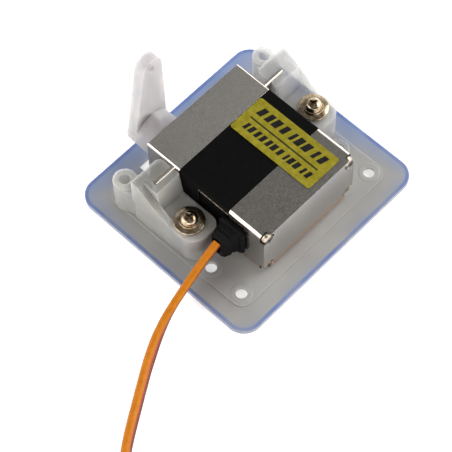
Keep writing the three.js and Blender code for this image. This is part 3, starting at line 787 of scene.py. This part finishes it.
def ribbon_section():
    """The outline across the three joined wires, as (across, up), and the wire that each side is on."""
    web = 48
    outline, wires = [], []
    for side, order in ((1, (-1, 0, 1)), (-1, (1, 0, -1))):
        for wire in order:
            start = -90 if wire == order[0] else -web
            end = 90 if wire == order[2] else web
            points = arc(0, 0, WIRE_R, start, end, 8)
            if side == -1:
                points = [(-u, -v) for u, v in points]
            points = [(u, v + 2 * WIRE_R * wire) for u, v in points]
            if points[0] in outline or (outline and math.dist(points[0], outline[-1]) < 0.01):
                points = points[1:]
            outline += points
            wires += [wire] * len(points)
    if math.dist(outline[0], outline[-1]) < 0.01:
        outline, wires = outline[:-1], wires[:-1]
    return outline, wires


def lean_at(x):
    """How far the ribbon leans, in radians: it does so where it leaves the grommet."""
    t = min(max((x + 37) / 12, 0), 1)
    return -math.radians(16) * t * t * (3 - 2 * t)


def make_lead():
    path = smooth_path([*LEAD_ROUTE, *coil_route()], 0.8)
    outline, wires = ribbon_section()
    rings = []
    for i, centre in enumerate(path):
        along = (path[min(i + 1, len(path) - 1)] - path[max(i - 1, 0)]).normalized()
        across = along.cross(Vector((0, 0, 1))).normalized()
        across = Quaternion(along, lean_at(centre.x)) @ across
        up = across.cross(along)
        rings.append([centre + across * u + up * v for u, v in outline])
    lead = lofted(rings)
    sides = len(outline)
    colour_of = {1: 0, 0: 1, -1: 2}
    for polygon in lead.data.polygons:
        if len(polygon.vertices) == 4:
            first = min(v % sides for v in polygon.vertices)
            second = max(v % sides for v in polygon.vertices)
            polygon.material_index = colour_of[wires[first if second - first > 1 else second]]
    finished(lead, "lead_ribbon", ["orange", "red", "brown"], ("lead", "lead_coil"))
    return lead, path


def make_plug():
    centre = plug_place()[0]
    low, high = span("lead_plug")
    half, tall, thick = 7.0, high.z - low.z, 2.6
    shell = prism(rounded(-thick / 2, -tall / 2, thick / 2, tall / 2, 0.35, 4), -half, half, "y")
    pitch = 2.3
    tools = []
    for up in (-pitch, 0, pitch):
        tools.append(block((-0.55, half - 5.0, up - 0.55), (0.55, half + 1, up + 0.55)))
        tools.append(block((-2.0, -half + 4.0, up - 0.45), (-0.75, -half + 6.6, up + 0.45)))
        tools.append(rod(0, up, -half - 1, -half + 3.2, 0.8, "y", 24))
    tools.append(block((0.95, -half + 2.2, -tall), (2.0, -half + 2.6, tall)))
    tools.append(block((0.95, -half + 3.2, -tall), (2.0, -half + 3.6, tall)))
    cut(shell, *tools)
    back, front = half - 4.8, half - 0.9
    contacts = together(*[
        joined(block((-0.4, back, up - 0.45), (-0.25, front, up + 0.45)),
               block((-0.4, back, up + 0.3), (0.4, front, up + 0.45)))
        for up in (-pitch, 0, pitch)
    ])
    turn = Matrix.Translation(centre) @ Matrix.Rotation(PLUG_TURN - math.pi / 2, 4, "Z")
    for shape in (shell, contacts):
        shape.data.transform(turn)
    shell = finished(shell, "plug_shell", ["black_plastic"], ("lead_plug",),
                     0.12)
    contacts = finished(contacts, "plug_contacts", ["brass"])
    return shell, contacts


def cut_rectangle(half_u, half_v, corner):
    left = [(-half_u, corner - half_v), (-half_u, half_v - corner), (corner - half_u, half_v),
            (half_u - corner, half_v)]
    return left + [(-u, -v) for u, v in left]


def make_grommet():
    """The rubber grommet: a neck through the wall, a flange against it, and a tapered nose with a rib."""
    wall = -CASE_HALF
    stations = [
        (1.25, -7.35, 7.9, 1.65, 2.1), (-0.1, -7.35, 7.9, 1.65, 2.1), (-0.12, -7.85, 8.0, 2.62, 3.58),
        (-0.3, -7.85, 8.0, 2.84, 3.8), (-0.85, -7.85, 8.0, 2.8, 3.75), (-1.0, -7.85, 8.0, 2.6, 3.55),
        (-1.05, -7.6, 7.75, 2.2, 2.95), (-1.75, -7.5, 7.55, 2.1, 2.9), (-1.85, -7.5, 7.5, 1.9, 2.72),
        (-2.25, -7.42, 7.4, 1.86, 2.68), (-2.35, -7.4, 7.35, 2.0, 2.8), (-3.5, -7.27, 6.95, 1.5, 2.5),
        (-3.68, -7.25, 6.9, 1.25, 2.3),
    ]
    rings = [
        [(wall + x, y + u, z + v) for u, v in cut_rectangle(half_y, half_z, 0.3 * half_y)]
        for x, y, z, half_y, half_z in stations
    ]
    body = lofted(rings)
    mouth = [(wall - 2.0, -7.02, 7.35), (wall - 4.5, -6.84, 7.06)]
    opening = rounded(-0.95, -2.15, 0.95, 2.15, 0.9, 5)
    cut(body, lofted([[(x, y + u, z + v) for u, v in opening] for x, y, z in mouth]))
    finished(body, "grommet", ["rubber"], ("lead_grommet",), 0.14, 2)


# --- hatch plate
def make_hatch_plate():
    half_x, half_y = PLATE_HALF
    plate = prism(rounded(-half_x, -half_y, half_x, half_y, PLATE_CORNER, 16), 0, SHEET_TOP)
    pad = prism(rounded(-PAD_HALF[0], -PAD_HALF[1], PAD_HALF[0], PAD_HALF[1], 2.5, 10), 0.5, PAD_TOP)
    more, tools = [pad], []
    for side in (-1, 1):
        x = BRACKET_CENTRE + side * BRACKET_SCREW_OUT
        more.append(turned([(BOSS_R + 0.35, 0.6), (BOSS_R + 0.3, PAD_TOP + 0.1), (BOSS_R, PAD_TOP + 0.5),
                            (BOSS_R, BOSS_TOP)], x, BRACKET_SCREW_Y))
        tools.append(rod(x, BRACKET_SCREW_Y, SHEET_TOP, BOSS_TOP + 1, 1.05, sides=32))
        for y in HOLE_ROWS:
            rim = [(2.0, 0.6), (2.0, PAD_TOP + 0.02), (1.7, PAD_TOP + 0.1), (1.45, PAD_TOP + 0.1)]
            more.append(turned(rim, side * HOLE_X, y))
            countersink = [(1.9, -0.01), (HOLE_R, 0.6), (HOLE_R, PAD_TOP + 1)]
            tools.append(turned(countersink, side * HOLE_X, y, sides=40))
    tools.append(prism(rounded(-10.95, 12.6, 1.5, 17.1, 0.35, 4), -1, PAD_TOP + 1))
    cut(joined(plate, *more), *tools)
    finished(plate, "hatch_shell", ["hatch"], ("hatch_plate",), 0.12)


# --- brackets
def make_bracket(name, side):
    """One bracket. Its outlines are drawn by distance outwards from the pair's middle."""
    inner, outer, bottom, seat, top = 12.4, 19.4, 1.4, BRACKET_SEAT, 13.7
    front, rear, rear_r = 9.9, -4.95, 2.6
    post_out, post_y, post_r, post_top = 17.95, 13.2, 2.2, 9.0
    tower_back = 3.4
    wing = outer - 1.4

    def at(out):
        return BRACKET_CENTRE + side * out

    def across(profile, near, far):
        """A profile of (y, z), drawn out between two distances from the pair's middle."""
        return prism(profile, *sorted((at(near), at(far))), axis="x")

    inner_corner = arc(inner + 1.1, front - 1.1, 1.1, 90, 180, 6)
    plan = [
        *arc(inner + 1.9, rear + 1.9, 1.9, 180, 270, 8),
        *arc(outer - 0.2 - rear_r, rear + rear_r, rear_r, 270, 360, 10),
        (outer, front - 0.6), (outer - 0.4, front),
        (post_out + 1.9, post_y - 1.1), (post_out - 1.5, post_y + 1.6),
        (inner + 2.2, front + 0.4), *inner_corner,
    ]
    tower_plan = [(inner, tower_back), (outer, tower_back), (outer, front), *inner_corner]
    body = prism([(at(out), y) for out, y in plan], bottom, seat)
    tower = prism([(at(out), y) for out, y in tower_plan], seat - 1.0, top)
    slope = [(3.0, seat), (4.15, seat), (5.0, top), (5.1, top + 1), (3.0, top + 1)]
    wing_slope = [(3.0, seat), (4.15, seat), (8.2, top), (8.9, top + 1), (3.0, top + 1)]
    cut(tower, across(slope, inner - 1, wing), across(wing_slope, wing, outer + 1))
    gusset = [(1.1, seat - 0.5), (1.1, seat), (8.2, top), (front - 0.6, top), (front - 0.6, seat - 0.5)]
    post = rod(at(post_out), post_y, bottom, post_top, post_r, sides=32)
    joined(body, tower, across(gusset, wing, outer - 0.02), post)
    softened(body, 0.5, 4)
    lug_end = (GEAR_HIGH.x if side > 0 else -GEAR_LOW.x) + 0.25
    slot_x = sorted((side * (inner - 2), side * lug_end))
    screw_x = at(BRACKET_SCREW_OUT)
    cut(
        body,
        block((slot_x[0], 6.18, 2.05), (slot_x[1], 7.27, top + 1)),
        rod(at(post_out), post_y, post_top - 3.4, post_top + 1, 1.0, sides=32),
        rod(screw_x, BRACKET_SCREW_Y, bottom - 1, BOSS_TOP + 0.3, BOSS_R + 0.42),
        rod(screw_x, BRACKET_SCREW_Y, bottom, seat + 1, 1.15, sides=32),
    )
    looks = ["bracket"]
    finished(body, name + "_cradle", looks, (name + "_bracket",), 0.1, 2)


def cross_recess(x, y, low, size, axis="z", width=0.4):
    """The tapering cross that a driver fits, as a cutter."""
    half = width / 2
    wings = []
    for u, v in ((size, half), (half, size)):
        outline = [(-u, -v), (u, -v), (u, v), (-u, v)]
        deep, wide = (
            [PLACE[axis](x + k * a, y + k * b, height) for a, b in outline]
            for k, height in ((0.55, low), (1.0, low + math.copysign(1.4, low)))
        )
        wings.append(lofted([deep, wide]))
    return joined(*wings)


def make_bracket_screw(side):
    """A pan head screw with a rolled thread, and the large washer under its head."""
    name = "left" if side < 0 else "right"
    x = BRACKET_CENTRE + side * BRACKET_SCREW_OUT
    seat = span(f"{name}_bracket_screw")[1].z - 1.4
    thread = []
    pitch, height = 0.62, seat - 5.7
    while height < seat - 0.6:
        thread += [(0.74, height), (0.95, height + 0.3 * pitch), (0.95, height + 0.4 * pitch),
                   (0.74, height + 0.7 * pitch)]
        height += pitch
    profile = [
        (0, seat - 6.4), (0.3, seat - 6.35), *thread, (0.8, seat - 0.35), (0.8, seat), (1.86, seat),
        (1.9, seat + 0.05), (1.9, seat + 0.34), (1.84, seat + 0.42), (1.6, seat + 0.45), (1.56, seat + 0.5),
        (1.52, seat + 0.8), (1.36, seat + 1.08), (1.05, seat + 1.28), (0.6, seat + 1.38), (0, seat + 1.4),
    ]
    screw = turned(profile, x, BRACKET_SCREW_Y)
    cut(screw, cross_recess(x, BRACKET_SCREW_Y, seat + 0.45, 1.05, width=0.42))
    finished(screw, name + "_screw", ["nickel"], (f"{name}_bracket_screw",))
    low, high = span(f"{name}_bracket_washer")
    r, hole, edge = 2.85, 1.12, 0.1
    ring = [
        (hole, low.z + edge), (hole + edge, low.z), (r - edge, low.z), (r, low.z + edge), (r, high.z - edge),
        (r - 0.04, high.z - 0.03), (r - edge, high.z), (hole + edge, high.z), (hole, high.z - edge),
    ]
    washer = turned(ring, x, BRACKET_SCREW_Y, sides=72, closed=True)
    finished(washer, name + "_washer", ["nickel"], (f"{name}_bracket_washer",))


# --- servo case
SCREW_PLACES = [(side_x * SCREW_X, CASE_MID + side_z * SCREW_DZ) for side_x in (-1, 1) for side_z in (-1, 1)]


def case_prism(inset, corner, low, high, steps=6):
    half = CASE_HALF - inset
    return prism(rounded(-half, CASE_BOTTOM + inset, half, CASE_TOP - inset, corner, steps), low, high, "y")


def hollow(low, high):
    """The room inside the case, lower at its ends, where the corners hold the screws."""
    half = CASE_HALF - WALL
    tall = CASE_MID - CASE_BOTTOM - WALL
    return joined(
        block((-half, low, CASE_MID - 3.5), (half, high, CASE_MID + 3.5)),
        block((2 - half, low, CASE_MID - tall), (half - 2, high, CASE_MID + tall)),
    )


def screw_holes(low, high):
    return [rod(x, z, low, high, 0.7, "y", 20) for x, z in SCREW_PLACES]


def lead_notch():
    return block((-CASE_HALF - 1, -9.3, 5.5), (1.6 - CASE_HALF, -5.4, 10.3))


def polish_corners(body, corner):
    """Gives the case's long rounded edges, and the lugs', their own look."""
    for polygon in body.data.polygons:
        c, n = polygon.center, polygon.normal
        slanting = 0.08 < abs(n.x) < 0.997 and abs(n.y) < 0.1
        at_side = abs(c.x) > CASE_HALF - corner - 0.05
        at_top = abs(c.z - CASE_MID) > CASE_TOP - CASE_MID - corner - 0.05
        on_lug = abs(c.x) > CASE_HALF and 0.08 < abs(n.y) < 0.997
        polygon.material_index = int(slanting and at_side and at_top or on_lug)


def make_gear_case():
    """The front shell: its lugs, the collar round the shaft and the bearing's seat."""
    back, front = GEAR_LOW.y, 13.2
    body = case_prism(0, 0.45, back, front, 5)
    (lug_back, lug_front), (lug_low, lug_high), soft = (6.3, 7.15), (2.2, 13.8), 0.4
    lug_section = [
        (lug_front, lug_low), (lug_front, lug_high),
        *arc(lug_back + soft, lug_high - soft, soft, 90, 180, 5),
        *arc(lug_back + soft, lug_low + soft, soft, 180, 270, 5),
    ]
    lugs = prism(lug_section, -GEAR_HIGH.x, GEAR_HIGH.x, "x")
    profile = [(3.9, front - 0.5), (3.9, front + 0.38), (3.78, front + 0.5), (3.0, front + 0.5)]
    collar = turned(profile, SHAFT.x, SHAFT.z, "y", 64)
    joined(body, lugs, collar)
    cut(
        body, hollow(back - 1, 12.0), *screw_holes(back - 1, 8.6),
        *[rod(x, CASE_MID, 5.0, 8.5, 1.0, "y", 32) for x in (-13.9, 13.9)],
        rod(SHAFT.x, SHAFT.z, 11.0, front + 0.15, 3.3, "y"),
        rod(SHAFT.x, SHAFT.z, 12.0, front + 1, 2.3, "y"),
        rod(PIN_X, CASE_MID, 11.0, 12.8, 0.6, "y", 20),
    )
    polish_corners(body, 0.45)
    looks = ["front_case", "polished"]
    finished(body, "front_shell", looks, ("gear_case",), 0.15, 2, 1)


def make_middle_case():
    """The black middle shell, with a shallow step down its left wall and a deck for the gears; a thin rod
    along the step's upper edge carries a painted highlight line.
    """
    back, front = MIDDLE_LOW.y, MIDDLE_HIGH.y
    deck_back, deck_front = 3.6, 4.7
    body = case_prism(0.05, 0.3, back, front, 4)
    wall, step_front, edge_z = -CASE_HALF, 0.8, 12.62
    step = prism([(wall - 1, 1.0), (wall + 0.35, 1.0), (wall + 0.35, 12.5), (wall - 0.05, 12.75),
                  (wall - 1, 12.75)], back - 1, step_front, "y")
    cut(
        body, hollow(deck_front, front + 1), hollow(back - 1, deck_back), *screw_holes(back - 1, front + 1),
        rod(SHAFT.x, SHAFT.z, deck_back - 1, deck_front + 1, 1.7, "y"),
        rod(PIN_X, CASE_MID, deck_back + 0.3, deck_front + 1, 0.6, "y", 20),
        rod(MOTOR_X, CASE_MID, deck_back - 1, deck_front + 1, 2.0, "y"),
        step, lead_notch(),
    )
    # Painted highlight: a thin rod along the step's upper edge, given the brown-grey edge look below, stands
    # in for the highlight line there.
    joined(body, rod(wall + 0.07, edge_z, back + 0.05, step_front - 0.05, 0.15, "y", 20))
    for polygon in body.data.polygons:
        c = polygon.center
        on_highlight_rod = c.x < wall + 0.045 and abs(c.z - edge_z) < 0.16 and c.y < step_front
        polygon.material_index = int(on_highlight_rod)
    looks = ["black_case", "black_edge"]
    finished(body, "middle_shell", looks, ("middle_case",), 0.12, 2, 1)


def corner_block(x, z, back):
    """What is cut away outside a case screw, so that its head is in the open."""
    outer_x, outer_z = math.copysign(CASE_HALF + 1, x), CASE_MID + math.copysign(8, z - CASE_MID)
    low = (min(x, outer_x), back - 1, min(z, outer_z))
    return block(low, (max(x, outer_x), back + 1.0, max(z, outer_z)))


def make_bottom_case():
    """The rear shell, with rounded polished long edges and a notch at each corner for its screw."""
    back, front = CASE_LOW.y, CASE_HIGH.y
    body = case_prism(0, 0.75, back, front, 8)
    cut(
        body, hollow(back + 1.1, front + 1), lead_notch(), *screw_holes(back - 1, front + 1),
        *[rod(x, z, back - 1, back + 1.0, 1.3, "y", 32) for x, z in SCREW_PLACES],
        *[corner_block(x, z, back) for x, z in SCREW_PLACES],
    )
    polish_corners(body, 0.75)
    # Painted shadow: the notch floors round each screw head get the near-black shadow look.
    for polygon in body.data.polygons:
        c = polygon.center
        near = min(math.dist((c.x, c.z), place) for place in SCREW_PLACES)
        if near < 1.31 and abs(c.y - back - 1.0) < 0.01:
            polygon.material_index = 2
    looks = ["rear_case", "polished", "notch_shadow"]
    finished(body, "rear_shell", looks, ("bottom_case",), 0.14, 2, 1)


def make_case_screws():
    """The four long case screws, each a node of its own."""
    for number, (x, z) in enumerate(SCREW_PLACES, 1):
        node = f"case_screw_{number}"
        low, high = span(node)
        seat = low.y + 0.8
        profile = [
            (0, low.y), (0.6, low.y + 0.03), (0.88, low.y + 0.12), (1.0, low.y + 0.32), (1.0, seat - 0.05),
            (0.95, seat), (0.55, seat), (0.55, high.y - 0.3), (0.3, high.y), (0, high.y),
        ]
        screw = turned(profile, x, z, "y", 32)
        cut(screw, cross_recess(x, z, low.y + 0.45, 0.62, "y", 0.26))
        finished(screw, f"shell_screw_{number}", ["steel"], (node,))


def make_label():
    low, high = LABEL_LOW, LABEL_HIGH
    body = prism(rounded(low.x, low.y, high.x, high.y, 0.5, 6), low.z - 0.05, high.z)
    finished(body, "foil_label", ["label"], ("label",), 0.03, 2)


# --- arm
def make_arm():
    """The nylon arm: a tapering blade with a round tip, standing on a round hub."""
    hub_r, tip_r = 4.0, 2.35
    tip = Vector((-4.7, 24.95))
    hub = Vector((SHAFT.x, SHAFT.z))
    back, blade, front = ARM_LOW.y, 17.9, ARM_HIGH.y
    reach = (tip - hub).length
    lean = math.degrees(math.atan2(tip.y - hub.y, tip.x - hub.x))
    splay = math.degrees(math.acos((hub_r - tip_r) / reach))
    outline = [*arc(*hub, hub_r, lean + splay, lean - splay + 360, 40),
               *arc(*tip, tip_r, lean - splay, lean + splay, 24)]
    body = prism(outline, blade, front, "y")
    joined(body, rod(*hub, back, front, hub_r + 0.1, "y", 72))
    linkage_hole = [(0.85, blade - 0.01), (0.6, blade + 0.25), (0.6, front - 0.25), (0.85, front + 0.01)]
    cut(
        body,
        rod(*hub, back - 1, 18.5, 1.95, "y"),
        rod(*hub, back, front + 1, 0.95, "y", 32),
        rod(*hub, front - 0.8, front + 1, 2.1, "y"),
        turned(linkage_hole, *tip, "y", 32),
    )
    finished(body, "nylon_arm", ["arm"], ("servo_arm",), 0.26, body_name="horn")


def about_shaft(radius, angle):
    return SHAFT.x + radius * math.cos(angle), SHAFT.z + radius * math.sin(angle)


def make_output_shaft():
    """The brass output shaft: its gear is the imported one's, and its end carries a fine spline."""
    teeth, root, tip = 25, 1.62, 1.76
    low, high = span("output_shaft")
    outline = []
    for i in range(teeth):
        for part, r in ((0.0, tip), (0.5, root)):
            outline.append(about_shaft(r, 2 * math.pi * (i + part) / teeth))
    spline = prism(outline, 13.6, high.y, "y")
    gear_back, gear_front = 9.2, 10.9
    profile = [(0, low.y), (0.42, low.y), (0.5, low.y + 0.1), (0.5, 9.4), (1.9, 9.4), (1.9, 13.5),
               (1.5, 13.65), (1.4, 14.0), (0, 14.0)]
    stem = turned(profile, SHAFT.x, SHAFT.z, "y")
    joined(stem, toothed(32, gear_back, gear_front), spline)
    bore = [(0, 14.8), (0.75, 14.8), (0.75, high.y - 0.2), (0.95, high.y + 0.1), (0.95, high.y + 1)]
    cut(stem, turned(bore, SHAFT.x, SHAFT.z, "y", 32))
    finished(stem, "splined_shaft", ["brass"], ("output_shaft",), 0.03, 1,
             body_name="horn")


def toothed(teeth, low, high):
    """A gear about the output shaft, with a tooth facing +X."""
    module = 0.25
    pitch_r = module * teeth / 2
    tip, root = pitch_r + 0.8 * module, pitch_r - 1.05 * module
    half_root, half_tip = 0.29 * math.pi * module / root, 0.1 * math.pi * module / tip
    outline = []
    for i in range(teeth):
        centre = 2 * math.pi * i / teeth
        for r, offset in ((root, -half_root), (tip, -half_tip), (tip, half_tip), (root, half_root)):
            outline.append(about_shaft(r, centre + offset))
    return prism(outline, low, high, "y")


def make_arm_screw():
    low, high = span("arm_screw")
    seat = high.y - 0.9
    profile = [
        (0, low.y), (0.4, low.y + 0.1), (0.6, low.y + 0.5), (0.6, seat), (1.78, seat), (1.8, seat + 0.1),
        (1.76, seat + 0.45), (1.5, seat + 0.75), (1.0, seat + 0.88), (0, high.y),
    ]
    screw = turned(profile, SHAFT.x, SHAFT.z, "y", 40)
    cut(screw, cross_recess(SHAFT.x, SHAFT.z, seat + 0.25, 1.0, "y", 0.36))
    finished(screw, "horn_screw", ["steel"], ("arm_screw",), body_name="horn")


# --- what stays as packed
def dress_packed_nodes():
    """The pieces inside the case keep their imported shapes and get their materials."""
    looks = {
        "brass": ("first_gear", "second_gear", "third_gear", "motor_pinion", "output_bush"),
        "steel": ("gear_pin", "output_bearing", "motor"),
        "black_plastic": ("position_sensor",),
        "board": ("circuit_board",),
        "orange": ("inner_wires",),
    }
    for look, nodes in looks.items():
        for node in nodes:
            mesh = frame["nodes"][node].data
            mesh.materials.clear()
            mesh.materials.append(LOOKS[look])


make_camera()
lead, lead_path = make_lead()
plug_pieces = make_plug()
make_grommet()

make_stage()
make_hatch_plate()
for bracket_name, bracket_side in (("left", -1), ("right", 1)):
    make_bracket(bracket_name, bracket_side)
    make_bracket_screw(bracket_side)
make_gear_case()
make_middle_case()
make_bottom_case()
make_case_screws()
make_label()
make_arm()
make_output_shaft()
make_arm_screw()
dress_packed_nodes()
